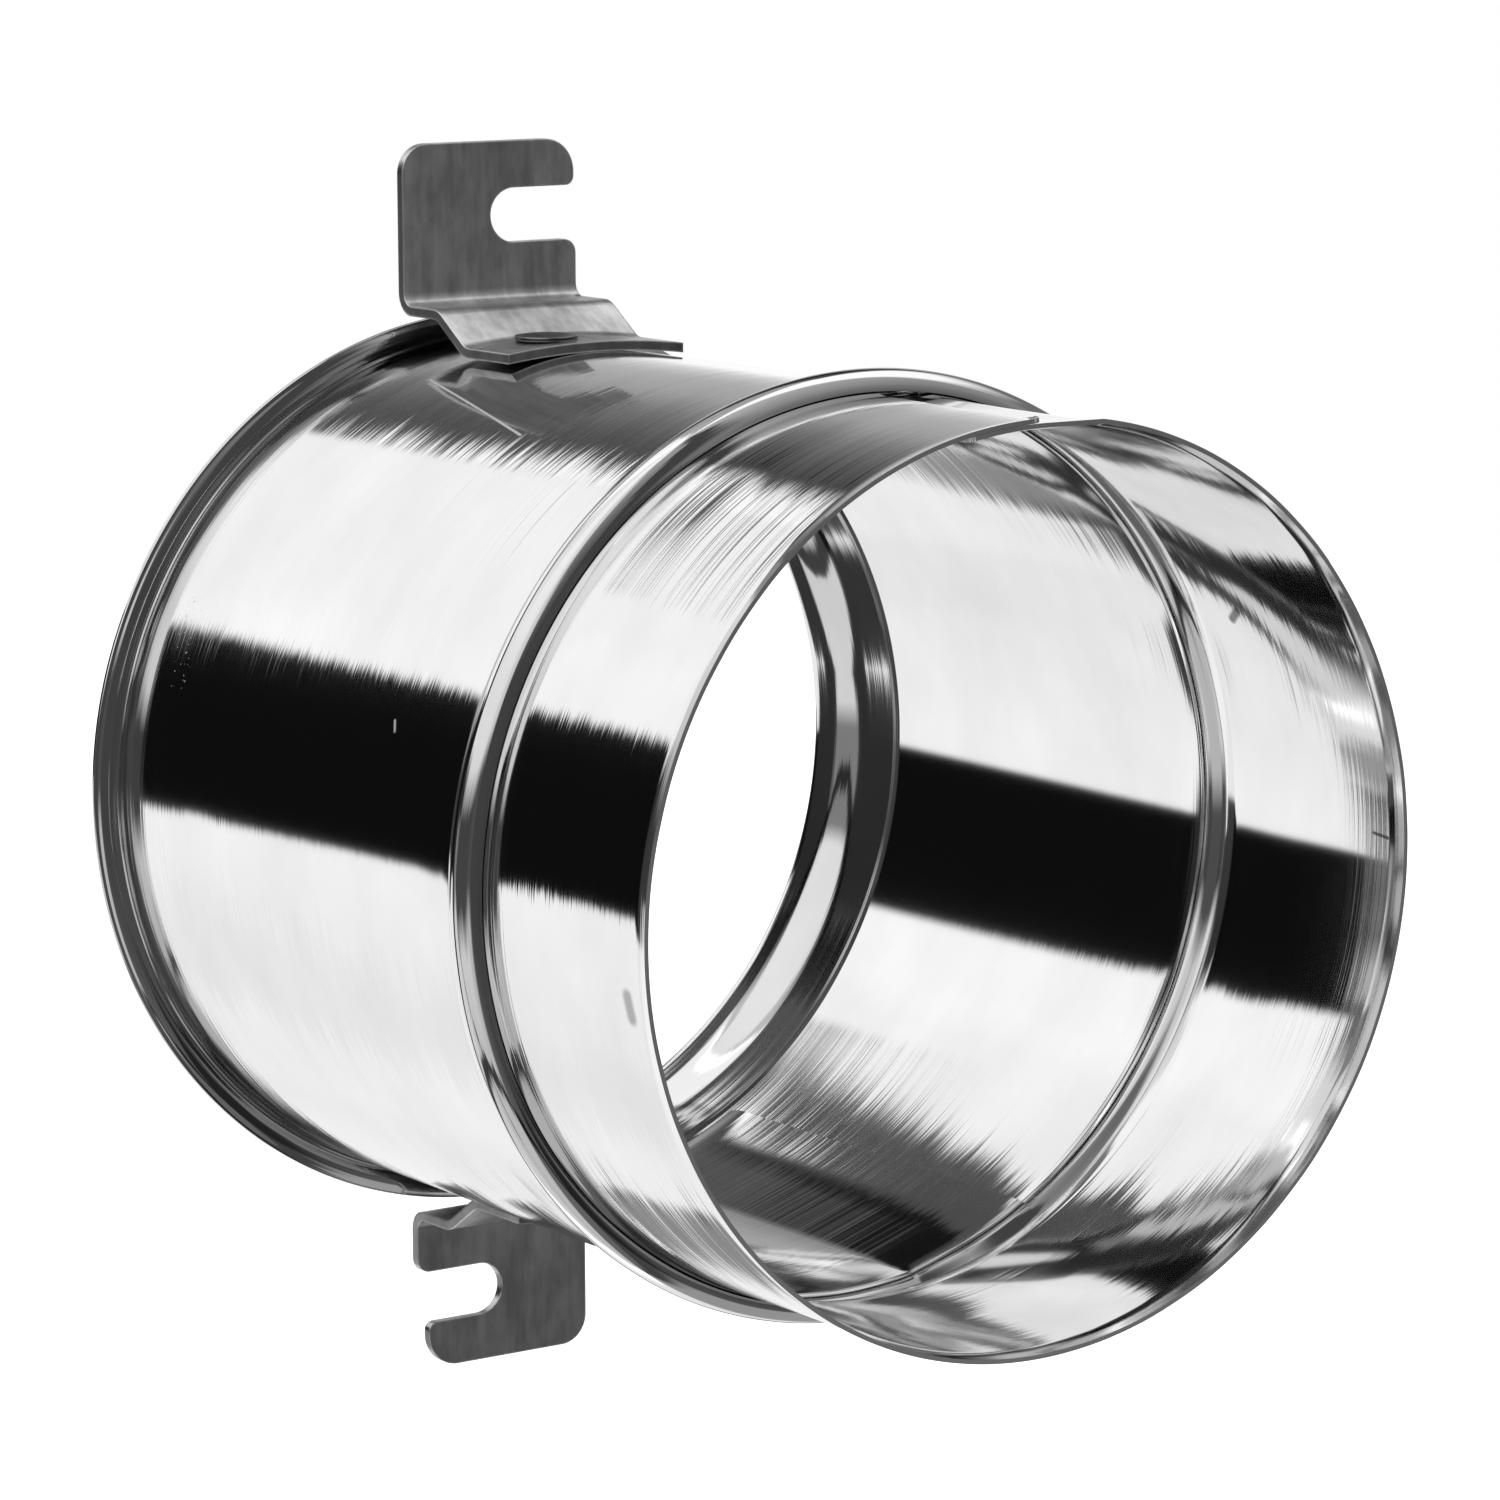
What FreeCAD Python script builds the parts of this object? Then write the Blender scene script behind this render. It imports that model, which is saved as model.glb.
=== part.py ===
import FreeCAD, Part
import math
import os

# Flue pipe connector: a rolled tube with a stop bead, a spigot sleeve nested in the bead, an end
# ring crimped over the tube's flange, and two slotted brackets riveted to the tube.
# Sizes are in millimetres. The tube's axis is the Y axis and +Z is up. The mating plane is at
# y = 0, and s is the distance in front of it, so a point at s lies at y = -s. Angles round the
# tube are in degrees from +Z towards +X.

# Spigot sleeve, from the open rim back to the bead's front wall
overall_length = 110.0
spigot_r = 50.0
spigot_t = 0.5
spigot_length = 30.4
bell_start = 1.4
bell_deg = 12.0
bell_bend = 6.0
hook_bend = 0.3
hook_height = 0.75

# Tube and bead
tube_step = 0.65
tube_t = 0.5
bead_height = 2.1
bead_bend = 2.3
bead_blend = 1.5
bead_flank_deg = 52.0

# Laps where the two rolled sheets close, each with its outer free edge over the dipped inner one
lap_w = 9.6
spigot_lap_deg = -10.5
tube_lap_deg = 151.0
lap_end_clear = 1.0
lap_corner = 2.5

# End ring, crimped over the flange that the tube's end is turned out into
flange_width = 3.15
ring_t = 0.5
hem_gap = 0.75
hem_clear = 0.3
flange_bend = 0.5
throat_bend = 1.0
throat_run = 4.3
throat_deg = 5.5
throat_blend = 15.0
ogee_run = 4.3
ogee_deg = 14.0
ogee_blend = 20.0
leg_run = 6.0
leg_deg = 5.0

# Bracket, bent from one strip: an upright tab, a ledge over the flange, a joggle and a foot
strip_w = 24.0
strip_t = 1.15
strip_bend = 1.5
joggle_bend = 2.5
tab_back_s = 0.8
tab_corner = 3.5
finger_w = 5.6
finger_corner = 4.0
mouth_upper_corner = 1.1
mouth_lower_corner = 1.7
upper_finger_short = 0.2
lower_finger_short = 1.5
ledge_clear = 0.05
ledge_length = 5.6
joggle_length = 6.0
foot_length = 9.85
foot_sag = 0.8
slot_rise = 11.15
slot_w = 6.4
slot_end_x = 0.1

# Rivet through the foot and the tube wall, beside the strip's middle
rivet_x = -3.2
rivet_from_toe = 5.8
rivet_d = 4.0
rivet_hole_clear = 0.05
head_d = 7.3
head_crown = 0.8
head_edge = 0.5
tail_d = 6.0
tail_t = 1.2

# Places that follow from the sizes above
tube_r = spigot_r + tube_step
flange_r = tube_r + flange_width
bead_front = overall_length - spigot_length
bell_foot = bead_front + bell_start
hem_t = 2 * ring_t + tube_t
ledge_z = flange_r + ledge_clear
ledge_start = tab_back_s + strip_t + strip_bend
joggle_top_s = ledge_start + ledge_length
joggle_foot_s = joggle_top_s + joggle_length
foot_end_s = joggle_foot_s + foot_length
rivet_s = foot_end_s - rivet_from_toe
slot_z = ledge_z + slot_rise
tab_top_z = slot_z + slot_w / 2 + finger_w

AXIS = FreeCAD.Vector(0, 1, 0)
ORIGIN = FreeCAD.Vector(0, 0, 0)
TINY = 1e-6


def in_section(x):
    """A function that puts a section point (s, z) into space at this x."""
    return lambda p: FreeCAD.Vector(x, -p[0], p[1])


def round_tube(radius, degrees, s=0.0):
    """The point at this radius and angle round the tube's axis."""
    angle = math.radians(degrees)
    return FreeCAD.Vector(radius * math.sin(angle), -s, radius * math.cos(angle))


def line(a, b):
    return Part.LineSegment(a, b).toShape()


def unit(a, b):
    length = math.hypot(b[0] - a[0], b[1] - a[1])
    return ((b[0] - a[0]) / length, (b[1] - a[1]) / length)


def beside(points, radii, offset):
    """The bend line that runs at this offset to the left of another, with its bend radii."""
    moved = []
    bends = []
    for i, p in enumerate(points):
        before = unit(points[i - 1], p) if i > 0 else unit(p, points[i + 1])
        after = unit(p, points[i + 1]) if i < len(points) - 1 else before
        share = offset / (1.0 + before[0] * after[0] + before[1] * after[1])
        moved.append((p[0] - (before[1] + after[1]) * share, p[1] + (before[0] + after[0]) * share))
        turn = before[0] * after[1] - before[1] * after[0]
        bends.append(radii[i] - math.copysign(1.0, turn) * offset if radii[i] else 0.0)
    return moved, bends


def rounded_edges(points, radii, place):
    """Lines through the points, with an arc of its own radius at each corner between them."""
    edges = []
    start = points[0]
    for i in range(1, len(points) - 1):
        before = unit(points[i - 1], points[i])
        after = unit(points[i], points[i + 1])
        turn = math.acos(before[0] * after[0] + before[1] * after[1])
        reach = radii[i] * math.tan(turn / 2)
        first = (points[i][0] - before[0] * reach, points[i][1] - before[1] * reach)
        last = (points[i][0] + after[0] * reach, points[i][1] + after[1] * reach)
        inward = unit(points[i], ((first[0] + last[0]) / 2, (first[1] + last[1]) / 2))
        depth = radii[i] / math.cos(turn / 2) - radii[i]
        crest = (points[i][0] + inward[0] * depth, points[i][1] + inward[1] * depth)
        if math.dist(start, first) > TINY:
            edges.append(line(place(start), place(first)))
        edges.append(Part.Arc(place(first), place(crest), place(last)).toShape())
        start = last
    if math.dist(start, points[-1]) > TINY:
        edges.append(line(place(start), place(points[-1])))
    return edges


def closed_wire(edges):
    return Part.Wire(Part.__sortEdges__(edges))


def sheet_wire(points, radii, thickness, x=0.0):
    """The closed section of a bent sheet that lies to the left of its bend line."""
    place = in_section(x)
    other, other_radii = beside(points, radii, thickness)
    near = rounded_edges(points, radii, place)
    far = rounded_edges(other, other_radii, place)
    ends = [line(place(points[-1]), place(other[-1])), line(place(other[0]), place(points[0]))]
    return closed_wire(near + far + ends)


def turned_sheet(points, radii, thickness):
    """A sheet that is turned or rolled about the tube's axis."""
    face = Part.Face(sheet_wire(points, radii, thickness))
    return face.revolve(ORIGIN, AXIS, 360.0)


def half_turn(shape):
    turned = shape.copy()
    turned.rotate(ORIGIN, AXIS, 180.0)
    return turned


def disc(radius, low_s, high_s):
    """A solid round the tube's axis between two distances from the mating plane."""
    return Part.makeCylinder(radius, high_s - low_s, FreeCAD.Vector(0, -high_s, 0), AXIS)


def lapped_sleeve(radius, thickness, degrees, low_s, high_s):
    """A rolled sheet whose first edge dips under its last one, where it is spot welded."""
    edge = degrees + math.degrees(lap_w / radius)
    inner = radius - thickness
    under = inner - thickness
    outer_leave = edge + math.degrees(math.acos(inner / radius))
    inner_leave = edge + math.degrees(math.acos(under / inner))

    def arc(r, first, last):
        middle = (first + last) / 2
        return Part.Arc(round_tube(r, first), round_tube(r, middle), round_tube(r, last)).toShape()

    outside = [arc(radius, outer_leave, edge + 360.0),
               line(round_tube(radius, edge), round_tube(inner, edge)),
               line(round_tube(inner, edge), round_tube(radius, outer_leave))]
    inside = [arc(inner, inner_leave, degrees + 360.0),
              line(round_tube(inner, degrees), round_tube(under, degrees)),
              arc(under, degrees, edge),
              line(round_tube(under, edge), round_tube(inner, inner_leave))]
    section = Part.Face(closed_wire(outside)).cut(Part.Face(closed_wire(inside)))
    sleeve = section.extrude(FreeCAD.Vector(0, low_s - high_s, 0))
    sleeve.translate(FreeCAD.Vector(0, -low_s, 0))
    return sleeve


def with_lap(shape, radius, thickness, degrees, low_s, high_s):
    """The turned shape with its plain stretch between two distances exchanged for a lapped one."""
    plain = disc(radius + thickness, low_s, high_s)
    lapped = lapped_sleeve(radius, thickness, degrees, low_s, high_s)
    return shape.cut(plain).fuse(lapped).removeSplitter()


def rounded_lap_corner(radius, thickness, degrees, rim_s):
    """What the rounding takes off the outer free edge where it meets the open rim."""
    size = lap_corner
    mid = size * (1.0 - math.sqrt(0.5))
    corner = FreeCAD.Vector(0, -rim_s, 0)
    along = FreeCAD.Vector(0, size, 0)
    across = FreeCAD.Vector(-size, 0, 0)
    crest = corner + FreeCAD.Vector(-mid, mid, 0)
    edges = [line(corner, corner + along), line(corner, corner + across),
             Part.Arc(corner + along, crest, corner + across).toShape()]
    prism = Part.Face(closed_wire(edges)).extrude(FreeCAD.Vector(0, 0, radius + thickness))
    prism = prism.cut(disc(radius - thickness, rim_s - size, rim_s))
    prism.rotate(ORIGIN, AXIS, degrees + math.degrees(lap_w / radius))
    return prism


def upright_pin(radius, low, high):
    return Part.makeCylinder(radius, high - low, FreeCAD.Vector(rivet_x, -rivet_s, low))


def rivet_hole():
    return upright_pin(rivet_d / 2 + rivet_hole_clear, 0.0, tab_top_z)


def make_tube_shell():
    """Outer face first: the lip on the sleeve, the bead, the wall and the turned-out flange."""
    flank = math.radians(bead_flank_deg)
    crest_s = bead_front - bead_bend
    crest_mid_r = tube_r + bead_height - bead_bend
    touch_s = crest_s - bead_bend * math.sin(flank)
    touch_r = crest_mid_r + bead_bend * math.cos(flank)
    apex_r = touch_r + (bead_front - touch_s) * math.tan(flank)
    flank_foot_s = touch_s - (touch_r - tube_r) / math.tan(flank)
    lip_r = spigot_r + (bell_start + tube_t) * math.tan(math.radians(bell_deg))
    flange_front = ring_t + tube_t
    flange_edge = flange_r - ring_t - hem_clear
    points = [(bead_front, lip_r), (bead_front, apex_r), (flank_foot_s, tube_r),
              (flange_front, tube_r), (flange_front, flange_edge)]
    radii = [0.0, bead_bend, bead_blend, flange_bend, 0.0]
    shell = turned_sheet(points, radii, tube_t)
    lap_low = ring_leg_end() + lap_end_clear
    lap_high = flank_foot_s - bead_blend - lap_end_clear
    shell = with_lap(shell, tube_r, tube_t, tube_lap_deg, lap_low, lap_high)
    return shell.cut(rivet_hole()).cut(half_turn(rivet_hole()))


def make_spigot_sleeve():
    """Outer face first: the open rim, the sleeve, its bell and the edge hooked up in the bead."""
    hook_s = bead_front - tube_t - hook_bend
    hook_r = spigot_r + (bell_foot - hook_s) * math.tan(math.radians(bell_deg))
    points = [(overall_length, spigot_r), (bell_foot, spigot_r), (hook_s, hook_r),
              (hook_s, hook_r + hook_height)]
    sleeve = turned_sheet(points, [0.0, bell_bend, hook_bend, 0.0], spigot_t)
    lap_low = bell_foot + lap_end_clear
    sleeve = with_lap(sleeve, spigot_r, spigot_t, spigot_lap_deg, lap_low, overall_length)
    return sleeve.cut(rounded_lap_corner(spigot_r, spigot_t, spigot_lap_deg, overall_length))


def ring_leg_end():
    return throat_run + ogee_run + leg_run


def ogee_corners():
    """The ring's inner face inside the tube: the leg, the steeper ogee and the throat."""
    leg_s = throat_run + ogee_run
    edge_r = tube_r - tube_t - ring_t
    leg_r = edge_r - leg_run * math.tan(math.radians(leg_deg))
    throat_r = leg_r - ogee_run * math.tan(math.radians(ogee_deg))
    back_r = throat_r - throat_run * math.tan(math.radians(throat_deg))
    return [(ring_leg_end(), edge_r), (leg_s, leg_r), (throat_run, throat_r), (0.0, back_r)]


def make_end_ring():
    """Inner face first: the leg, the ogee, the throat, the back face and the hem."""
    points = ogee_corners() + [(0.0, flange_r), (hem_t, flange_r), (hem_t, tube_r + hem_gap)]
    radii = [0.0, ogee_blend, throat_blend, throat_bend, hem_t / 2, hem_t / 2, 0.0]
    return turned_sheet(points, radii, -ring_t)


def slot_cutter(finger_short):
    """The open slot with a rounded mouth, and what the outer finger's end is short of the strip."""
    low = slot_z - slot_w / 2
    high = slot_z + slot_w / 2
    middle = slot_end_x + slot_w / 2
    edge = strip_w / 2
    tip = edge - finger_short
    reach = edge + slot_w

    def at(x, z):
        return FreeCAD.Vector(x, 0.0, z)

    def quarter(x, z, radius, up):
        mid = radius * math.sqrt(0.5)
        half = at(x + mid, z + up * (radius - mid))
        return Part.Arc(at(x, z), half, at(x + radius, z + up * radius)).toShape()

    upper_x = tip - mouth_upper_corner
    lower_x = edge - mouth_lower_corner
    low_out = low - mouth_lower_corner
    high_out = high + mouth_upper_corner
    tip_mid = finger_corner * (1.0 - math.sqrt(0.5))
    tip_start = tab_top_z - finger_corner
    edges = [line(at(upper_x, high), at(middle, high)),
             Part.Arc(at(middle, high), at(slot_end_x, slot_z), at(middle, low)).toShape(),
             line(at(middle, low), at(lower_x, low)),
             quarter(lower_x, low, mouth_lower_corner, -1),
             line(at(edge, low_out), at(reach, low_out)),
             line(at(reach, low_out), at(reach, tab_top_z)),
             line(at(reach, tab_top_z), at(tip - finger_corner, tab_top_z)),
             Part.Arc(at(tip - finger_corner, tab_top_z), at(tip - tip_mid, tab_top_z - tip_mid),
                      at(tip, tip_start)).toShape(),
             line(at(tip, tip_start), at(tip, high_out)),
             quarter(upper_x, high, mouth_upper_corner, 1)]
    outline = Part.Face(closed_wire(edges))
    return outline.extrude(FreeCAD.Vector(0, -foot_end_s, 0))


def step_section(x, sag):
    """The ledge, joggle and foot at this x, where the foot has come down by the sag."""
    foot_z = tube_r - sag
    points = [(ledge_start, ledge_z), (joggle_top_s, ledge_z), (joggle_foot_s, foot_z),
              (foot_end_s, foot_z)]
    radii = [0.0, joggle_bend, joggle_bend + strip_t, 0.0]
    return sheet_wire(points, radii, strip_t, x)


def make_bracket(finger_short):
    """The tab with its open slot, and the step down to a foot that is bowed over the tube."""
    half = strip_w / 2
    points = [(tab_back_s, tab_top_z), (tab_back_s, ledge_z), (ledge_start, ledge_z)]
    radii = [0.0, strip_bend + strip_t, 0.0]
    upright = Part.Face(sheet_wire(points, radii, strip_t, -half))
    tab = upright.extrude(FreeCAD.Vector(strip_w, 0, 0))
    corner = [e for e in tab.Edges if e.CenterOfMass.distanceToPoint(
        FreeCAD.Vector(-half, -tab_back_s - strip_t / 2, tab_top_z)) < TINY]
    tab = tab.makeFillet(tab_corner, corner).cut(slot_cutter(finger_short))
    sections = [step_section(-half, foot_sag), step_section(0.0, 0.0), step_section(half, foot_sag)]
    step = Part.makeLoft(sections, True, False)
    return tab.fuse(step).removeSplitter().cut(rivet_hole())


def make_rivet():
    """A low pan head on the foot, the shank, and the tail closed against the tube's inner wall."""
    seat = tube_r + strip_t
    head_r = head_d / 2
    tail_r = tail_d / 2
    tail_seat = math.sqrt((tube_r - tube_t) ** 2 - (abs(rivet_x) + tail_r) ** 2)
    shank_r = rivet_d / 2
    crown_z = seat + head_crown
    rise = head_crown - head_edge
    dome = (rise ** 2 + head_r ** 2) / (2 * rise)
    half_angle = math.asin(head_r / dome) / 2

    def at(r, z):
        return FreeCAD.Vector(rivet_x + r, -rivet_s, z)

    shoulder = at(dome * math.sin(half_angle), crown_z - dome * (1 - math.cos(half_angle)))
    corners = [at(0, crown_z), at(0, tail_seat - tail_t), at(tail_r, tail_seat - tail_t),
               at(tail_r, tail_seat), at(shank_r, tail_seat), at(shank_r, seat),
               at(head_r, seat), at(head_r, seat + head_edge)]
    edges = [line(a, b) for a, b in zip(corners, corners[1:])]
    edges.append(Part.Arc(corners[-1], shoulder, corners[0]).toShape())
    face = Part.Face(Part.Wire(edges))
    return face.revolve(at(0, 0), FreeCAD.Vector(0, 0, 1), 360.0)


def main():
    os.makedirs("parts", exist_ok=True)
    rivet = make_rivet()
    nodes = {
        "tube_shell": make_tube_shell(),
        "spigot_sleeve": make_spigot_sleeve(),
        "end_ring": make_end_ring(),
        "bracket_upper": make_bracket(upper_finger_short),
        "bracket_lower": half_turn(make_bracket(lower_finger_short)),
        "bracket_rivets": Part.makeCompound([rivet, half_turn(rivet)]),
    }
    for name, shape in nodes.items():
        shape.exportStep("parts/" + name + ".step")
        sizes = shape.optimalBoundingBox(False, False)
        print(name, "solids", len(shape.Solids), "valid", shape.isValid(), "volume",
              round(shape.Volume, 1), "y", round(sizes.YMin, 2), round(sizes.YMax, 2),
              "z", round(sizes.ZMin, 2), round(sizes.ZMax, 2))


main()
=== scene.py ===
import math
import bpy
from mathutils import Matrix, Vector, noise


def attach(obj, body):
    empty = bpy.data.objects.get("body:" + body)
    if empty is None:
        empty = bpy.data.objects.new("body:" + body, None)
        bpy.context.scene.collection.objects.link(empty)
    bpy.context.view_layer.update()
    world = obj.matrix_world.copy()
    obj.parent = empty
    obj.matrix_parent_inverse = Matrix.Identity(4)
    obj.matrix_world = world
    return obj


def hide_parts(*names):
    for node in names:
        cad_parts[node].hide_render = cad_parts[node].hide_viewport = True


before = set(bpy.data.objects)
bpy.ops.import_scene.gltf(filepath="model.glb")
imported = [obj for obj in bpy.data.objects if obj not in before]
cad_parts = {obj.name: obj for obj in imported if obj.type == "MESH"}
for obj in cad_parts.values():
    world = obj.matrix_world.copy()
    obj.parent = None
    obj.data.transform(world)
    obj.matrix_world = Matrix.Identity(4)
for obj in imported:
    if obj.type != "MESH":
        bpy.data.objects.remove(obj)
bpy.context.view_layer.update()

# Sizes in millimetres. s is the distance in front of the mating plane, so a point at s lies at
# y = -s, and angles round the tube are in degrees from +Z towards +X.
MM = 0.001
SHEET_T = 0.5
SPIGOT_R = 50.0
TUBE_R = 50.65
FLANGE_R = 53.8
RIM_S = 110.0
BEAD_FRONT = 79.6
BELL_FOOT = 81.0
LAP_W = 9.6
SPIGOT_LAP_DEG = -10.5
TUBE_LAP_DEG = 151.0
LAYER_GAP = 0.02


def clamp01(value):
    return max(0.0, min(1.0, value))


def smooth(low, high, value):
    t = clamp01((value - low) / (high - low))
    return t * t * (3.0 - 2.0 * t)


def wave(a, b, seed):
    """Smooth noise from about -1 to 1 at a place on the sheet."""
    return noise.noise(Vector((a, b, seed * 7.31)))


def round_noise(degrees, cycles, across, seed):
    """Smooth noise that closes on itself round the tube."""
    angle = math.radians(degrees)
    radius = cycles / (2.0 * math.pi)
    return noise.noise(Vector((radius * math.cos(angle), radius * math.sin(angle),
                               across + seed * 7.31)))


def heading(a, b):
    length = math.hypot(b[0] - a[0], b[1] - a[1])
    return ((b[0] - a[0]) / length, (b[1] - a[1]) / length)


def beside(points, radii, offset):
    """The bend line at this offset to the left of another, with its bend radii."""
    moved = []
    bends = []
    for i, p in enumerate(points):
        before = heading(points[i - 1], p) if i > 0 else heading(p, points[i + 1])
        after = heading(p, points[i + 1]) if i < len(points) - 1 else before
        share = offset / (1.0 + before[0] * after[0] + before[1] * after[1])
        moved.append((p[0] - (before[1] + after[1]) * share,
                      p[1] + (before[0] + after[0]) * share))
        turn = before[0] * after[1] - before[1] * after[0]
        bends.append(radii[i] - math.copysign(1.0, turn) * offset if radii[i] else 0.0)
    return moved, bends


def sampled(points, radii, arcs, runs):
    """The bend line as a list of points, with this many steps in each arc and straight run."""
    line = [points[0]]
    start = points[0]
    for i in range(1, len(points)):
        last = i == len(points) - 1
        after = None if last else heading(points[i], points[i + 1])
        before = heading(points[i - 1], points[i])
        if last:
            first = points[i]
        else:
            turn = math.acos(before[0] * after[0] + before[1] * after[1])
            side = math.copysign(1.0, before[0] * after[1] - before[1] * after[0])
            reach = radii[i] * math.tan(turn / 2)
            first = (points[i][0] - before[0] * reach, points[i][1] - before[1] * reach)
        for k in range(1, runs[i - 1] + 1):
            t = k / runs[i - 1]
            line.append((start[0] + (first[0] - start[0]) * t,
                         start[1] + (first[1] - start[1]) * t))
        if last:
            break
        centre = (first[0] - before[1] * side * radii[i], first[1] + before[0] * side * radii[i])
        for k in range(1, arcs[i - 1] + 1):
            angle = side * turn * k / arcs[i - 1]
            dx = first[0] - centre[0]
            dy = first[1] - centre[1]
            line.append((centre[0] + dx * math.cos(angle) - dy * math.sin(angle),
                         centre[1] + dx * math.sin(angle) + dy * math.cos(angle)))
        start = line[-1]
    return line


def sheet_lines(points, radii, thickness, arcs, runs):
    near = sampled(points, radii, arcs, runs)
    other, bends = beside(points, radii, thickness)
    return near, sampled(other, bends, arcs, runs)


def turned_mesh(name, near, far, angles, closed, warp):
    """A sheet turned about the tube's axis. warp moves a pair of points through the sheet."""
    count = len(near)
    ring = 2 * count
    lengths = [0.0]
    for a, b in zip(near, near[1:]):
        lengths.append(lengths[-1] + math.dist(a, b))
    across = [lengths[i] for i in range(count)] + [lengths[-1] + 1.0 + lengths[-1] - lengths[i]
                                                   for i in reversed(range(count))]
    verts = []
    for degrees in angles:
        outer = []
        inner = []
        for p, q in zip(near, far):
            a, b = warp(p, q, degrees)
            outer.append(a)
            inner.append(b)
        angle = math.radians(degrees)
        sine = math.sin(angle) * MM
        cosine = math.cos(angle) * MM
        for s, r in outer + inner[::-1]:
            verts.append((r * sine, -s * MM, r * cosine))
    faces = []
    marks = []
    columns = len(angles)
    for j in range(columns if closed else columns - 1):
        k = (j + 1) % columns
        u0 = angles[j]
        u1 = angles[j] + (angles[1] - angles[0]) if k == 0 else angles[k]
        for i in range(ring):
            n = (i + 1) % ring
            v0 = across[i]
            v1 = across[n] if n else across[-1] + SHEET_T
            faces.append((j * ring + i, k * ring + i, k * ring + n, j * ring + n))
            marks.append(((u0, v0), (u1, v0), (u1, v1), (u0, v1)))
    if not closed:
        for j, flip in ((0, False), (columns - 1, True)):
            for i in range(count - 1):
                a, b = j * ring + i, j * ring + i + 1
                c, d = j * ring + ring - 2 - i, j * ring + ring - 1 - i
                quad = (a, b, c, d)
                faces.append(quad[::-1] if flip else quad)
                mark = [(angles[j], across[i]), (angles[j], across[i + 1]),
                        (angles[j] + 0.5, across[i + 1]), (angles[j] + 0.5, across[i])]
                marks.append(tuple(mark[::-1] if flip else mark))
    mesh = bpy.data.meshes.new(name)
    mesh.from_pydata(verts, [], faces)
    uv = mesh.uv_layers.new(name="round")
    at = 0
    for quad in marks:
        for u, v in quad:
            uv.data[at].uv = (math.radians(u) * SPIGOT_R / 100.0, v / 100.0)
            at += 1
    mesh.validate()
    for polygon in mesh.polygons:
        polygon.use_smooth = True
    mesh.set_sharp_from_angle(angle=math.radians(38))
    obj = bpy.data.objects.new(name, mesh)
    bpy.context.scene.collection.objects.link(obj)
    return obj


def under_by(p, q, depth):
    """Moves a pair of points through the sheet towards its inner side."""
    length = math.dist(p, q)
    step = ((q[0] - p[0]) / length * depth, (q[1] - p[1]) / length * depth)
    return (p[0] + step[0], p[1] + step[1]), (q[0] + step[0], q[1] + step[1])


def dip(radius, edge, degrees):
    """How deep the lapped sheet lies under its own other edge at this angle."""
    depth = SHEET_T + LAYER_GAP
    leave = math.degrees(math.acos((radius - depth) / radius))
    if degrees <= edge:
        return depth
    if degrees >= edge + leave:
        return 0.0
    return radius - (radius - depth) / math.cos(math.radians(degrees - edge))


def angle_list(low, high, count, dense):
    """Even angles from low to high, with extra ones near the places named."""
    angles = [low + (high - low) * i / count for i in range(count + 1)]
    for place, reach, step in dense:
        k = 0
        while -reach + k * step <= reach:
            angle = place - reach + k * step
            if low < angle < high:
                angles.append(angle)
            k += 1
    angles.sort()
    kept = [angles[0]]
    for angle in angles[1:]:
        if angle - kept[-1] > 1e-3:
            kept.append(angle)
    return kept


def spigot_wave(s, degrees):
    """Slow unevenness of the sleeve, more at the open rim, where nothing holds it round."""
    free = smooth(84.0, 108.0, s)
    even = 0.03 * round_noise(degrees, 9.0, s / 28.0, 1.0)
    loose = 0.11 * free * round_noise(degrees, 9.0, s / 18.0, 2.0)
    return even + loose


def rim_shape(s):
    """The sleeve's slight waist, and the short flare that rolling leaves at its open rim."""
    waist = -0.15 * smooth(83.0, 94.0, s)
    past_start = max(0.0, s - 108.2)
    flare = 0.2 * past_start ** 2 / 0.8 if past_start < 0.4 else 0.2 * (past_start - 0.2)
    return waist + flare


def make_spigot():
    hook_s = BEAD_FRONT - SHEET_T - 0.3
    hook_r = SPIGOT_R + (BELL_FOOT - hook_s) * math.tan(math.radians(12.0))
    points = [(RIM_S, SPIGOT_R), (BELL_FOOT, SPIGOT_R), (hook_s, hook_r),
              (hook_s, hook_r + 0.75)]
    near, far = sheet_lines(points, [0.0, 6.0, 0.3, 0.0], SHEET_T, [8, 6], [48, 2, 2])
    edge = SPIGOT_LAP_DEG + math.degrees(LAP_W / SPIGOT_R)
    angles = angle_list(SPIGOT_LAP_DEG, edge + 360.0, 560,
                        [(edge, 3.0, 0.25), (edge + 360.0, 4.0, 0.2)])

    def warp(p, q, degrees):
        depth = dip(SPIGOT_R, edge, degrees)
        a, b = under_by(p, q, depth) if depth else (p, q)
        shift = rim_shape(p[0]) + spigot_wave(p[0], degrees)
        a = (a[0], a[1] + shift)
        b = (b[0], b[1] + shift)
        left = (edge + 360.0 - degrees) * math.pi / 180.0 * SPIGOT_R
        drop = 0.0
        if left < 2.5:
            drop = 2.5 - math.sqrt(max(0.0, 2.5 ** 2 - (2.5 - left) ** 2))
        drop += 0.05 + 0.05 * round_noise(degrees, 60.0, 0.0, 3.0)
        share = clamp01((p[0] - 100.0) / 10.0)
        return (a[0] - drop * share, a[1]), (b[0] - drop * share, b[1])

    return turned_mesh("spigot_sheet", near, far, angles, False, warp)


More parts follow.
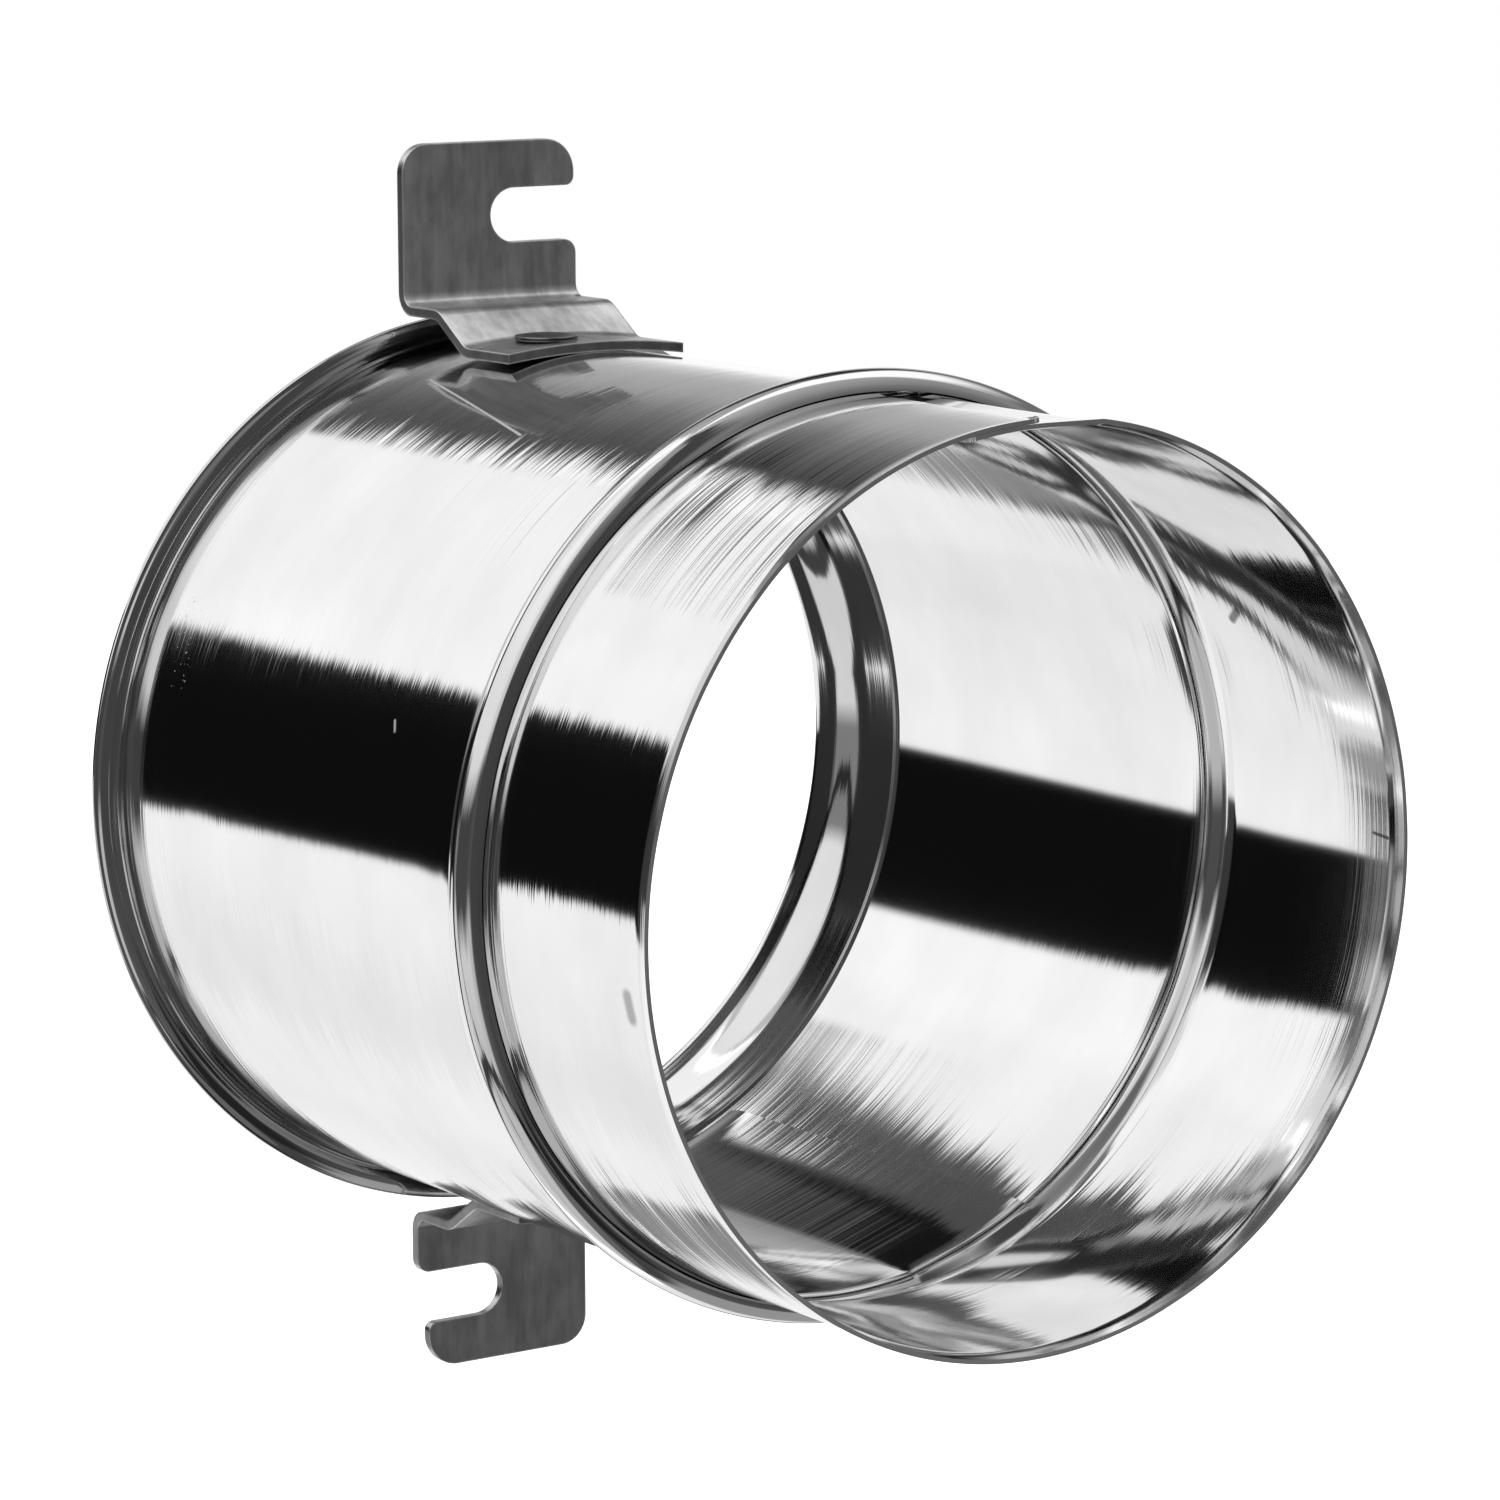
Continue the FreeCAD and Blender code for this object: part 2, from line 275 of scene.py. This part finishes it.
def make_tube():
    height = 2.1
    bend = 2.3
    flank = math.radians(52.0)
    crest_s = BEAD_FRONT - bend
    mid_r = TUBE_R + height - bend
    touch_s = crest_s - bend * math.sin(flank)
    touch_r = mid_r + bend * math.cos(flank)
    apex_r = touch_r + (BEAD_FRONT - touch_s) * math.tan(flank)
    foot_s = touch_s - (touch_r - TUBE_R) / math.tan(flank)
    lip_r = SPIGOT_R + 1.9 * math.tan(math.radians(12.0))
    points = [(BEAD_FRONT, lip_r), (BEAD_FRONT, apex_r), (foot_s, TUBE_R), (1.0, TUBE_R),
              (1.0, FLANGE_R - 0.8)]
    near, far = sheet_lines(points, [0.0, bend, 1.5, 0.5, 0.0], SHEET_T, [14, 6, 4],
                            [1, 2, 40, 2])
    edge = TUBE_LAP_DEG + math.degrees(LAP_W / TUBE_R)
    angles = angle_list(TUBE_LAP_DEG, edge + 360.0, 560, [(edge, 3.0, 0.5)])

    def warp(p, q, degrees):
        depth = dip(TUBE_R, edge, degrees)
        a, b = p, q
        if depth:
            held = smooth(15.5, 18.5, p[0])
            thin = 0.05 * (1.0 - held) * (1.0 - smooth(edge, edge + 2.0, degrees))
            a, b = under_by(p, q, depth * held)
            mid = ((a[0] + b[0]) / 2, (a[1] + b[1]) / 2)
            a = (a[0] + (mid[0] - a[0]) * thin * 4, a[1] + (mid[1] - a[1]) * thin * 4)
            b = (b[0] + (mid[0] - b[0]) * thin * 4, b[1] + (mid[1] - b[1]) * thin * 4)
        plain = smooth(15.0, 24.0, p[0]) * (1.0 - smooth(68.0, 73.0, p[0]))
        sway = 0.03 * plain * round_noise(degrees, 8.0, p[0] / 34.0, 4.0)
        sway -= 0.03 * plain
        return (a[0], a[1] + sway), (b[0], b[1] + sway)

    return turned_mesh("tube_sheet", near, far, angles, False, warp)


def make_ring():
    edge_r = TUBE_R - SHEET_T - SHEET_T
    leg_r = edge_r - 6.0 * math.tan(math.radians(5.0))
    throat_r = leg_r - 4.3 * math.tan(math.radians(14.0))
    back_r = throat_r - 4.3 * math.tan(math.radians(5.5))
    points = [(14.6, edge_r), (8.6, leg_r), (4.3, throat_r), (0.0, back_r),
              (0.0, FLANGE_R), (1.5, FLANGE_R), (1.5, TUBE_R + 0.75)]
    radii = [0.0, 20.0, 15.0, 1.0, 0.5, 0.99, 0.0]
    near, far = sheet_lines(points, radii, -SHEET_T, [12, 12, 8, 6, 12], [2, 3, 3, 4, 1, 8])
    angles = [360.0 * i / 600 for i in range(600)]

    def warp(p, q, degrees):
        hem = clamp01((FLANGE_R - 0.8 - p[1]) / 2.0) if p[0] > 0.9 and p[1] > TUBE_R else 0.0
        rag = 0.11 * round_noise(degrees, 90.0, 0.0, 5.0)
        rag += 0.09 * round_noise(degrees, 26.0, 0.0, 6.0)
        slip = hem * rag
        leg = smooth(8.0, 14.0, p[0]) if p[1] < TUBE_R else 0.0
        lean = leg * 0.06 * (round_noise(degrees, 30.0, 0.0, 7.0) - 1.0)
        if p[0] > 0.7 and p[1] > TUBE_R:
            lean -= 0.4 * smooth(FLANGE_R - 2.0, FLANGE_R - 0.2, p[1]) * smooth(0.7, 1.4, p[0])
        return (p[0] + lean, p[1] + slip), (q[0] + lean, q[1] + slip)

    return turned_mesh("ring_sheet", near, far, angles, True, warp)


# Materials

def fresh(name):
    material = bpy.data.materials.new(name)
    material.use_nodes = True
    nodes = material.node_tree.nodes
    return material, nodes, material.node_tree.links, nodes["Principled BSDF"]


def put(socket, value, links):
    if isinstance(value, bpy.types.NodeSocket):
        links.new(value, socket)
    else:
        socket.default_value = value


def sums(nodes, links, operation, a, b=0.0, c=0.0):
    node = nodes.new("ShaderNodeMath")
    node.operation = operation
    for i, value in enumerate((a, b, c)):
        put(node.inputs[i], value, links)
    return node.outputs[0]


def scaled(nodes, links, vector, sizes, offset=(0.0, 0.0, 0.0)):
    node = nodes.new("ShaderNodeMapping")
    links.new(vector, node.inputs["Vector"])
    node.inputs["Scale"].default_value = sizes
    node.inputs["Location"].default_value = offset
    return node.outputs[0]


def grain(nodes, links, vector, scale, detail=2.0, rough=0.5):
    node = nodes.new("ShaderNodeTexNoise")
    links.new(vector, node.inputs["Vector"])
    node.inputs["Scale"].default_value = scale
    node.inputs["Detail"].default_value = detail
    node.inputs["Roughness"].default_value = rough
    return node.outputs[0]


def ramp(nodes, links, value, stops, plain=True):
    """A grey ramp with stops (place, grey)."""
    node = nodes.new("ShaderNodeValToRGB")
    node.color_ramp.interpolation = "LINEAR" if plain else "EASE"
    links.new(value, node.inputs[0])
    elements = node.color_ramp.elements
    while len(elements) < len(stops):
        elements.new(1.0)
    for element, (place, grey) in zip(elements, stops):
        element.position = place
        element.color = (grey, grey, grey, 1.0)
    return node.outputs[0]


def vector_op(nodes, links, operation, a, b=None, scale=None):
    node = nodes.new("ShaderNodeVectorMath")
    node.operation = operation
    put(node.inputs[0], a, links)
    if b is not None:
        put(node.inputs[1], b, links)
    if scale is not None:
        put(node.inputs["Scale"], scale, links)
    return node.outputs[0]


def dot(nodes, links, a, b):
    node = nodes.new("ShaderNodeVectorMath")
    node.operation = "DOT_PRODUCT"
    links.new(a, node.inputs[0])
    links.new(b, node.inputs[1])
    return node.outputs["Value"]


def near_line(nodes, links, place, start, stop, width):
    """1 on the line between two places on the sheet, falling to 0 within the width in mm."""
    run = [stop[0] - start[0], stop[1] - start[1], 0.0]
    length = math.hypot(run[0], run[1])
    ahead = [run[0] / length, run[1] / length, 0.0]
    offset = vector_op(nodes, links, "SUBTRACT", place, (start[0], start[1], 0.0))
    along = nodes.new("ShaderNodeVectorMath")
    along.operation = "DOT_PRODUCT"
    links.new(offset, along.inputs[0])
    along.inputs[1].default_value = ahead
    reach = sums(nodes, links, "MINIMUM", sums(nodes, links, "MAXIMUM", along.outputs["Value"], 0.0),
                 length)
    foot = nodes.new("ShaderNodeCombineXYZ")
    put(foot.inputs[0], sums(nodes, links, "MULTIPLY", reach, ahead[0]), links)
    put(foot.inputs[1], sums(nodes, links, "MULTIPLY", reach, ahead[1]), links)
    gap = nodes.new("ShaderNodeVectorMath")
    gap.operation = "LENGTH"
    links.new(vector_op(nodes, links, "SUBTRACT", offset, foot.outputs[0]), gap.inputs[0])
    return sums(nodes, links, "SUBTRACT", 1.0,
                edge(nodes, links, gap.outputs["Value"], 0.3 * width, width))


def sheet_material():
    """Bright rolled sheet with hairlines round the tube, which tilt the surface a little."""
    material, nodes, links, shader = fresh("rolled_sheet")
    uv = nodes.new("ShaderNodeUVMap")
    uv.uv_map = "round"
    fine = grain(nodes, links, scaled(nodes, links, uv.outputs[0], (1.2, 420.0, 1.0)), 1.0, 3.0)
    broad = grain(nodes, links, scaled(nodes, links, uv.outputs[0], (2.5, 70.0, 1.0)), 1.0, 2.0)
    fine = sums(nodes, links, "SUBTRACT", fine, 0.5)
    broad = sums(nodes, links, "SUBTRACT", broad, 0.5)
    tilt = sums(nodes, links, "MULTIPLY", fine, 0.16)
    tilt = sums(nodes, links, "MULTIPLY_ADD", broad, 0.035, tilt)
    tangent = nodes.new("ShaderNodeTangent")
    tangent.direction_type = "UV_MAP"
    tangent.uv_map = "round"
    geometry = nodes.new("ShaderNodeNewGeometry")
    across = vector_op(nodes, links, "CROSS_PRODUCT", geometry.outputs["Normal"],
                       tangent.outputs[0])
    place = nodes.new("ShaderNodeTexCoord").outputs["Object"]
    spoke = vector_op(nodes, links, "MULTIPLY", place, (1.0, 0.0, 1.0))
    facing = nodes.new("ShaderNodeVectorMath")
    facing.operation = "DOT_PRODUCT"
    links.new(spoke, facing.inputs[0])
    links.new(geometry.outputs["Normal"], facing.inputs[1])
    outside = sums(nodes, links, "GREATER_THAN", facing.outputs["Value"], 0.0)
    tilt = sums(nodes, links, "MULTIPLY", tilt,
                sums(nodes, links, "MULTIPLY_ADD", outside, 0.6, 0.4))
    drift = sums(nodes, links, "MULTIPLY", sums(nodes, links, "MULTIPLY", tilt, -0.66), outside)
    drift = vector_op(nodes, links, "SCALE", tangent.outputs[0], scale=drift)
    lean = vector_op(nodes, links, "SCALE", across, scale=tilt)
    leaned = vector_op(nodes, links, "ADD", geometry.outputs["Normal"], lean)
    leaned = vector_op(nodes, links, "ADD", leaned, drift)
    normal = vector_op(nodes, links, "NORMALIZE", leaned)
    links.new(normal, shader.inputs["Normal"])
    cloud = grain(nodes, links, scaled(nodes, links, uv.outputs[0], (6.0, 8.0, 1.0)), 1.0, 4.0)
    tone = ramp(nodes, links, cloud, [(0.3, 0.80), (0.7, 0.88)])
    x_y_z = nodes.new("ShaderNodeSeparateXYZ")
    links.new(place, x_y_z.inputs[0])
    x, y, z = x_y_z.outputs
    flat = nodes.new("ShaderNodeCombineXYZ")
    links.new(sums(nodes, links, "MULTIPLY", y, -1000.0), flat.inputs[0])
    arc = sums(nodes, links, "ARCTAN2", x, z)
    links.new(sums(nodes, links, "MULTIPLY", arc, SPIGOT_R), flat.inputs[1])
    inside = sums(nodes, links, "SUBTRACT", 1.0, outside)

    def at(s, degrees):
        return s, math.radians(degrees) * SPIGOT_R

    spots = grain(nodes, links, flat.outputs[0], 2.2, 1.0)
    cluster = near_line(nodes, links, flat.outputs[0], at(9.5, -64.0), at(11.5, -72.0), 3.0)
    specks = sums(nodes, links, "MULTIPLY", edge(nodes, links, spots, 0.68, 0.74), cluster)
    scratch = near_line(nodes, links, flat.outputs[0], at(15.9, -19.7), at(46.6, -28.6), 0.22)
    nick = near_line(nodes, links, flat.outputs[0], at(58.4, -71.2), at(58.9, -72.4), 0.3)
    raised = sums(nodes, links, "MAXIMUM", sums(nodes, links, "MAXIMUM", scratch, nick), specks)
    raised = sums(nodes, links, "MULTIPLY", raised, outside)
    smudge = near_line(nodes, links, flat.outputs[0], at(105.7, -96.5), at(106.1, -99.0), 1.2)
    smudge = sums(nodes, links, "MULTIPLY", sums(nodes, links, "MULTIPLY", smudge, outside), 0.5)
    blots = sums(nodes, links, "MAXIMUM",
                 near_line(nodes, links, flat.outputs[0], at(87.0, 62.5), at(88.6, 61.0), 0.8),
                 near_line(nodes, links, flat.outputs[0], at(105.2, 89.2), at(107.6, 89.5), 0.3))
    blots = sums(nodes, links, "MULTIPLY", sums(nodes, links, "MULTIPLY", blots, inside), 0.75)
    dull = sums(nodes, links, "MAXIMUM", smudge, blots)
    shade = sums(nodes, links, "MULTIPLY", tone, sums(nodes, links, "MULTIPLY_ADD", dull, -1.0, 1.0))
    links.new(shade, shader.inputs["Base Color"])
    shader.inputs["Metallic"].default_value = 1.0
    links.new(sums(nodes, links, "MULTIPLY_ADD", raised, 0.55, 0.07), shader.inputs["Roughness"])
    return material


def strip_material(name, low, high, roughness):
    """Dull strip steel with a faint grain up the tab and rounded cut edges, with a painted highlight
    along the edges and painted shade on the cut faces.
    """
    material, nodes, links, shader = fresh(name)
    place = nodes.new("ShaderNodeTexCoord").outputs["Object"]
    streak = grain(nodes, links, scaled(nodes, links, place, (900.0, 300.0, 120.0)), 1.0, 4.0)
    cloud = grain(nodes, links, scaled(nodes, links, place, (230.0, 230.0, 150.0)), 1.0, 4.0, 0.6)
    mixed = sums(nodes, links, "MULTIPLY_ADD", cloud, 0.6,
                 sums(nodes, links, "MULTIPLY", streak, 0.4))
    tone = ramp(nodes, links, mixed, [(0.38, low), (0.62, high)])
    bevel = nodes.new("ShaderNodeBevel")
    bevel.samples = 6
    bevel.inputs["Radius"].default_value = 0.00035
    normal = nodes.new("ShaderNodeNewGeometry").outputs["Normal"]
    facing = nodes.new("ShaderNodeSeparateXYZ")
    links.new(normal, facing.inputs[0])
    spot = nodes.new("ShaderNodeSeparateXYZ")
    links.new(place, spot.inputs[0])
    sideways = sums(nodes, links, "ABSOLUTE", facing.outputs[0])
    forward = sums(nodes, links, "MULTIPLY", facing.outputs[1], -1.0)
    near_tube = sums(nodes, links, "SUBTRACT", 1.0,
                     edge(nodes, links, sums(nodes, links, "ABSOLUTE", spot.outputs[2]),
                          0.0525, 0.0535))
    # Painted shade: faces turned sideways, and those facing forward near the tube, are darkened in
    # the base colour.
    cut_face_shade = sums(nodes, links, "MAXIMUM", edge(nodes, links, sideways, 0.85, 0.95),
               sums(nodes, links, "MULTIPLY", edge(nodes, links, forward, 0.85, 0.95),
                    near_tube))
    # Painted highlight: the base colour is lightened where the bevel rounds the edges.
    arris_highlight = dot(nodes, links, bevel.outputs[0], normal)
    arris_highlight = sums(nodes, links, "SUBTRACT", 1.0, edge(nodes, links, arris_highlight, 0.9, 0.99))
    tone = sums(nodes, links, "MULTIPLY", tone,
                sums(nodes, links, "MULTIPLY_ADD", cut_face_shade, -0.55, 1.0))
    tone = sums(nodes, links, "MULTIPLY_ADD", arris_highlight, 0.35, tone)
    links.new(tone, shader.inputs["Base Color"])
    shader.inputs["Metallic"].default_value = 1.0
    shader.inputs["Roughness"].default_value = roughness
    bump = nodes.new("ShaderNodeBump")
    bump.inputs["Strength"].default_value = 0.25
    bump.inputs["Distance"].default_value = 0.0001
    links.new(mixed, bump.inputs["Height"])
    links.new(bevel.outputs[0], bump.inputs["Normal"])
    links.new(bump.outputs[0], shader.inputs["Normal"])
    return material


def set_material(obj, material):
    obj.data.materials.clear()
    obj.data.materials.append(material)


def up(degrees):
    """Where an elevation lies on the ramps, which run from 50 degrees down to 70 up."""
    return (degrees + 50.0) / 120.0


def edge(nodes, links, value, low, high):
    """Rises from 0 at low to 1 at high."""
    node = nodes.new("ShaderNodeMapRange")
    node.interpolation_type = "SMOOTHSTEP"
    links.new(value, node.inputs["Value"])
    node.inputs["From Min"].default_value = low
    node.inputs["From Max"].default_value = high
    return node.outputs[0]


def past(nodes, links, turn, start, slope, most):
    """How far an azimuth is short of start, times slope, up to the most."""
    node = nodes.new("ShaderNodeClamp")
    links.new(sums(nodes, links, "SUBTRACT", start, turn), node.inputs["Value"])
    node.inputs["Max"].default_value = most
    return sums(nodes, links, "MULTIPLY", node.outputs[0], slope)


def studio(nodes, links, direction):
    """How bright the plain studio is in a direction: its panels, gaps and pale floor.

    Azimuth is in degrees from straight behind the part towards its left, elevation in degrees.
    """
    split = nodes.new("ShaderNodeSeparateXYZ")
    links.new(vector_op(nodes, links, "NORMALIZE", direction), split.inputs[0])
    x, y, z = split.outputs
    degree = 180.0 / math.pi
    rise = sums(nodes, links, "MULTIPLY", sums(nodes, links, "ARCSINE", z), degree)
    left = sums(nodes, links, "MULTIPLY", x, -1.0)
    turn = sums(nodes, links, "MULTIPLY", sums(nodes, links, "ARCTAN2", left, y), degree)
    band = sums(nodes, links, "ADD", rise, past(nodes, links, turn, 34.0, 0.4, 9.0))
    behind = sums(nodes, links, "SUBTRACT", rise, past(nodes, links, turn, -6.6, 0.3, 40.0))
    low = sums(nodes, links, "MINIMUM", sums(nodes, links, "ADD", rise, 20.0), 0.0)
    high = sums(nodes, links, "MAXIMUM", sums(nodes, links, "SUBTRACT", rise, 14.0), 0.0)
    slanted = sums(nodes, links, "MULTIPLY_ADD", low, -1.3, turn)
    slanted_end = sums(nodes, links, "MULTIPLY_ADD", high, 0.75, slanted)
    slanted = sums(nodes, links, "MULTIPLY_ADD", high, 0.6, slanted)
    sectors = [
        (turn, -160.0, 6.0, rise, [(-50, 0.3), (-12, 0.12), (-4, 0.1), (30, 0.25), (70, 0.4)]),
        (turn, -112.0, 6.0, rise, [(-50, 0.3), (-12, 0.5), (0, 0.12), (30, 0.15), (42, 1.0),
                                   (70, 1.0)]),
        (turn, -50.0, 5.0, behind, [(-40, 0.8), (-4, 0.9), (0, 0.6), (5, 0.42), (13, 0.34),
                                    (20, 0.17), (25, 0.1), (30.6, 0.05), (31.6, 1.0),
                                    (41, 1.0), (44, 0.3), (70, 0.4)]),
        (turn, -22.0, 4.0, behind, [(-40, 0.8), (-7.6, 0.9), (-7, 0.04), (0, 0.06), (5, 0.38),
                                    (13, 0.34), (20, 0.17), (25, 0.1), (30.6, 0.05),
                                    (31.6, 1.0), (41, 1.0), (44, 0.3), (70, 0.4)]),
        (turn, -5.5, 1.0, rise, [(-35, 0.85), (-7.6, 0.95), (-7, 0.04), (0, 0.05), (6, 0.5),
                                 (18.3, 0.7), (19, 0.9), (70, 0.9)]),
        (turn, 11.0, 2.0, band, [(-35, 0.8), (-7.6, 0.8), (-7, 0.04), (12, 0.03), (16, 0.9),
                                 (70, 0.9)]),
        (turn, 24.0, 2.5, band, [(-35, 0.8), (-7.6, 0.9), (-7.1, 0.004), (18.0, 0.004),
                                 (19.4, 0.95), (70, 0.95)]),
        (slanted, 42.8, 0.9, rise, [(-40, 0.03), (22, 0.02), (34, 0.12), (44, 0.5), (70, 0.5)]),
        (slanted_end, 57.5, 1.5, rise, [(-45, 0.6), (-14, 0.65), (-9, 0.2), (12, 0.2), (16, 0.75),
                                        (70, 0.8)]),
        (turn, 70.0, 2.5, rise, [(-40, 0.5), (-20, 0.6), (-12, 0.06), (5, 0.05), (14, 0.7),
                                 (60, 0.9)]),
        (turn, 132.0, 5.0, rise, [(-50, 0.5), (-14, 0.45), (-8, 0.07), (8, 0.07), (16, 0.6),
                                  (70, 0.7)]),
        (turn, 150.0, 5.0, rise, [(-50, 0.12), (-12, 0.05), (16, 0.05), (40, 0.15), (70, 0.3)]),
    ]
    steps = [edge(nodes, links, across, start - soft, start + soft)
             for across, start, soft, height, stops in sectors]
    total = sums(nodes, links, "MULTIPLY", sums(nodes, links, "SUBTRACT", 1.0, steps[0]), 0.05)
    for i, (across, start, soft, height, stops) in enumerate(sectors):
        beyond = steps[i + 1] if i + 1 < len(steps) else 0.0
        weight = sums(nodes, links, "SUBTRACT", steps[i], beyond)
        weight = sums(nodes, links, "MAXIMUM", weight, 0.0)
        place = sums(nodes, links, "MULTIPLY_ADD", height, 1.0 / 120.0, 50.0 / 120.0)
        tone = ramp(nodes, links, place, [(up(h), tone) for h, tone in stops])
        total = sums(nodes, links, "MULTIPLY_ADD", weight, tone, total)
    off = sums(nodes, links, "ABSOLUTE", sums(nodes, links, "ADD", turn, 1.0))
    arch = sums(nodes, links, "MULTIPLY_ADD", sums(nodes, links, "POWER", off, 2.0), 0.0106, rise)
    beam = sums(nodes, links, "MULTIPLY", edge(nodes, links, arch, 43.6, 44.6),
                sums(nodes, links, "SUBTRACT", 1.0, edge(nodes, links, arch, 49.0, 51.0)))
    beam = sums(nodes, links, "MULTIPLY", beam, edge(nodes, links, turn, -12.0, -6.0))
    off = sums(nodes, links, "MINIMUM", off, 26.0)
    bow = sums(nodes, links, "MULTIPLY_ADD", sums(nodes, links, "POWER", off, 2.0), 0.0106, rise)
    roof_side = sums(nodes, links, "MULTIPLY_ADD", rise, 3.06, turn)
    roof = sums(nodes, links, "MULTIPLY", edge(nodes, links, bow, 35.6, 36.4),
                sums(nodes, links, "SUBTRACT", 1.0, edge(nodes, links, roof_side, 117.5, 120.7)))
    roof = sums(nodes, links, "MULTIPLY", roof, edge(nodes, links, turn, -60.0, -50.0))
    roof = sums(nodes, links, "MULTIPLY", roof,
                sums(nodes, links, "SUBTRACT", 1.0, edge(nodes, links, turn, 15.5, 18.5)))
    ground = sums(nodes, links, "SUBTRACT", rise, past(nodes, links, turn, 0.0, 0.36, 40.0))
    pit = sums(nodes, links, "SUBTRACT", 1.0, edge(nodes, links, ground, -39.5, -38.4))
    pit = sums(nodes, links, "MULTIPLY", pit, edge(nodes, links, rise, -46.0, -43.0))
    pit = sums(nodes, links, "MULTIPLY", pit,
               sums(nodes, links, "MULTIPLY_ADD", edge(nodes, links, turn, -9.0, 0.0), 0.25, 0.75))
    dim = sums(nodes, links, "MAXIMUM", sums(nodes, links, "MAXIMUM", roof, pit), beam)
    keep = sums(nodes, links, "MULTIPLY_ADD", dim, -0.93, 1.0)
    return sums(nodes, links, "MULTIPLY", sums(nodes, links, "MULTIPLY", total, keep), 1.15)


def make_world():
    """The studio all round, and white where the camera looks past the object."""
    world = bpy.data.worlds.new("studio")
    bpy.context.scene.world = world
    world.use_nodes = True
    nodes, links = world.node_tree.nodes, world.node_tree.links
    background = nodes["Background"]
    light = studio(nodes, links, nodes.new("ShaderNodeTexCoord").outputs["Generated"])
    path = nodes.new("ShaderNodeLightPath")
    seen = nodes.new("ShaderNodeMix")
    seen.data_type = "FLOAT"
    links.new(path.outputs["Is Camera Ray"], seen.inputs[0])
    links.new(light, seen.inputs[2])
    seen.inputs[3].default_value = 1.0
    links.new(seen.outputs[0], background.inputs["Strength"])
    background.inputs["Color"].default_value = (1.0, 1.0, 1.0, 1.0)


def make_floor():
    """A pale floor, far enough below that the hung part throws no shadow into the view."""
    drop = 2.5
    bpy.ops.mesh.primitive_circle_add(vertices=96, radius=19.3, fill_type="NGON",
                                      location=(0.0, 0.0, -drop))
    floor = bpy.context.object
    floor.name = "floor"
    material, nodes, links, shader = fresh("pale_floor")
    shader.inputs["Base Color"].default_value = (0.85, 0.85, 0.85, 1.0)
    shader.inputs["Roughness"].default_value = 0.9
    place = nodes.new("ShaderNodeTexCoord").outputs["Object"]
    direction = vector_op(nodes, links, "ADD", place, (0.0, 0.0, -drop))
    path = nodes.new("ShaderNodeLightPath")
    shader.inputs["Emission Color"].default_value = (1.0, 1.0, 1.0, 1.0)
    links.new(path.outputs["Is Camera Ray"], shader.inputs["Emission Strength"])
    glow = nodes.new("ShaderNodeEmission")
    links.new(studio(nodes, links, direction), glow.inputs["Strength"])
    mirrored = nodes.new("ShaderNodeMixShader")
    links.new(path.outputs["Is Glossy Ray"], mirrored.inputs[0])
    links.new(shader.outputs[0], mirrored.inputs[1])
    links.new(glow.outputs[0], mirrored.inputs[2])
    links.new(mirrored.outputs[0], nodes["Material Output"].inputs["Surface"])
    set_material(floor, material)
    return floor


def make_camera():
    """The photo's viewpoint, with its small roll."""
    camera = bpy.data.cameras.new("camera")
    obj = bpy.data.objects.new("camera", camera)
    bpy.context.scene.collection.objects.link(obj)
    camera.sensor_width = 36.0
    camera.lens = 138.72
    camera.clip_end = 100.0
    place = Vector((-0.3624, -0.5831, 0.1132))
    right = Vector((0.82372809, -0.56696511, -0.00475421))
    ahead = Vector((0.55884811, 0.81329351, -0.16199524))
    upward = right.cross(ahead)
    turn = Matrix((right, upward, -ahead)).transposed().to_4x4()
    obj.matrix_world = Matrix.Translation(place) @ turn
    bpy.context.scene.camera = obj


tube = make_tube()
spigot = make_spigot()
ring = make_ring()
metal = sheet_material()
for piece, node in ((tube, "tube_shell"), (spigot, "spigot_sleeve"), (ring, "end_ring")):
    set_material(piece, metal)
    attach(piece, "root")
    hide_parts(node)
strip = strip_material("bracket_strip", 0.48, 0.80, 0.34)
dark = strip_material("rivet_head", 0.10, 0.16, 0.3)
for node in ("bracket_upper", "bracket_lower"):
    set_material(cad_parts[node], strip)
set_material(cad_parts["bracket_rivets"], dark)
make_floor()
make_world()
make_camera()
bpy.context.scene.view_settings.view_transform = "Standard"
